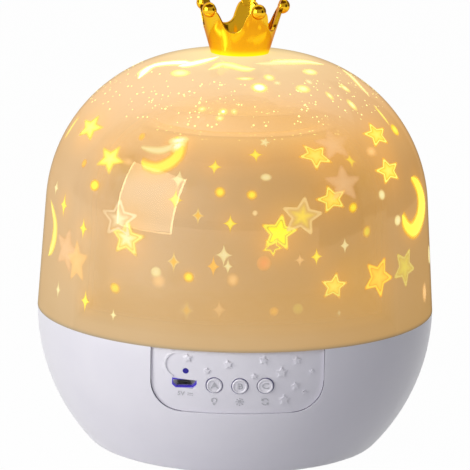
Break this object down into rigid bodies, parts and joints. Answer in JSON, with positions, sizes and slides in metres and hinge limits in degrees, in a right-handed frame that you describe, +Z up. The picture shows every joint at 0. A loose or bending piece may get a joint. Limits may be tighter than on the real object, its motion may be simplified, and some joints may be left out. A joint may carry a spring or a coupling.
{
  "type": "star night light projector",
  "caption": "Bowl-shaped night light base with a control panel, a turning film dome over a lamp, and a lift-off dome topped by a crown.",
  "frame": {"origin": "centre of the base's underside, on the surface that the foot pads stand on", "axes": "+Z up along the body's axis, -Y towards the control panel, +X to the panel's right"},
  "size_m": [0.14, 0.14, 0.158],
  "materials": {
    "base_white": "smooth satin gloss",
    "inner_white": "moulded, matt",
    "dome_tint": "glossy translucent cover, lit from inside",
    "film_tint": "thin translucent film with printed stars and moons",
    "crown_gold": "gold-coloured electroplate",
    "steel": "zinc-plated",
    "foot_rubber": "matt",
    "board_green": "solder mask",
    "black_plastic": "moulded",
    "plunger_brown": "moulded",
    "socket_ivory": "moulded",
    "battery_wrap": "foil pouch",
    "lens_clear": "clear moulded plastic",
    "lamp_board_white": "white solder mask on aluminium",
    "led_yellow": "phosphor",
    "led_blue": "lit blue",
    "lead_red": "insulated lead",
    "lead_yellow": "insulated lead",
    "lead_white": "insulated lead"
  },
  "bodies": {
    "base": {"base_shell": "base_white", "bottom_cover": "base_white", "cover_screws_set": "steel", "foot_pads": "foot_rubber", "control_panel": "base_white", "light_pipe": "lens_clear", "usb_socket": "steel", "usb_tongue": "black_plastic", "control_board": "board_green", "tact_switches": "black_plastic", "status_led": "led_blue", "board_chips": "black_plastic", "lead_sockets": "socket_ivory", "board_screws": "steel", "battery_pack": "battery_wrap", "battery_strap": "steel", "strap_screws": "steel", "top_deck": "inner_white", "deck_screws": "steel", "drive_motor": "steel", "motor_screws": "steel", "turntable_clip": "socket_ivory", "lamp_post": "inner_white", "post_screws": "steel", "lamp_board": "lamp_board_white", "lamp_emitters": "led_yellow", "lamp_screws": "steel", "lamp_lens": "lens_clear", "battery_leads": "lead_red", "motor_leads": "lead_yellow", "lamp_leads": "lead_white"},
    "button_a": {"button_a": "base_white", "plunger_a": "plunger_brown"},
    "button_b": {"button_b": "base_white", "plunger_b": "plunger_brown"},
    "button_c": {"button_c": "base_white", "plunger_c": "plunger_brown"},
    "pinion": {"motor_shaft": "steel", "drive_pinion": "socket_ivory"},
    "film_drum": {"turntable": "inner_white", "film_dome": "film_tint", "film_cap": "film_tint"},
    "outer_dome": {"dome_cover": "dome_tint", "crown": "crown_gold", "crown_washer": "steel", "crown_screw": "steel"}
  },
  "joints": [
    {"name": "film_turn", "type": "hinge", "parent": "base", "child": "film_drum", "pos_m": [0, 0, 0.05], "axis": [0, 0, 1], "continuous": true},
    {"name": "pinion_turn", "type": "hinge", "parent": "base", "child": "pinion", "pos_m": [-0.02873, 0.0241, 0.048], "axis": [0, 0, 1], "continuous": true},
    {"name": "press_a", "type": "slide", "parent": "base", "child": "button_a", "axis": [0, 0.9841, 0.1776], "range_m": [0, 0.0006], "stiffness_N_per_m": 400, "springref_m": -0.0005},
    {"name": "press_b", "type": "slide", "parent": "base", "child": "button_b", "axis": [0, 0.9841, 0.1776], "range_m": [0, 0.0006], "stiffness_N_per_m": 400, "springref_m": -0.0005},
    {"name": "press_c", "type": "slide", "parent": "base", "child": "button_c", "axis": [0, 0.9841, 0.1776], "range_m": [0, 0.0006], "stiffness_N_per_m": 400, "springref_m": -0.0005},
    {"name": "dome_lift", "type": "slide", "parent": "base", "child": "outer_dome", "axis": [0, 0, 1], "range_m": [0, 0.1]}
  ],
  "couplings": [
    {"joint": "pinion_turn", "follows": "film_turn", "ratio": -4}
  ]
}
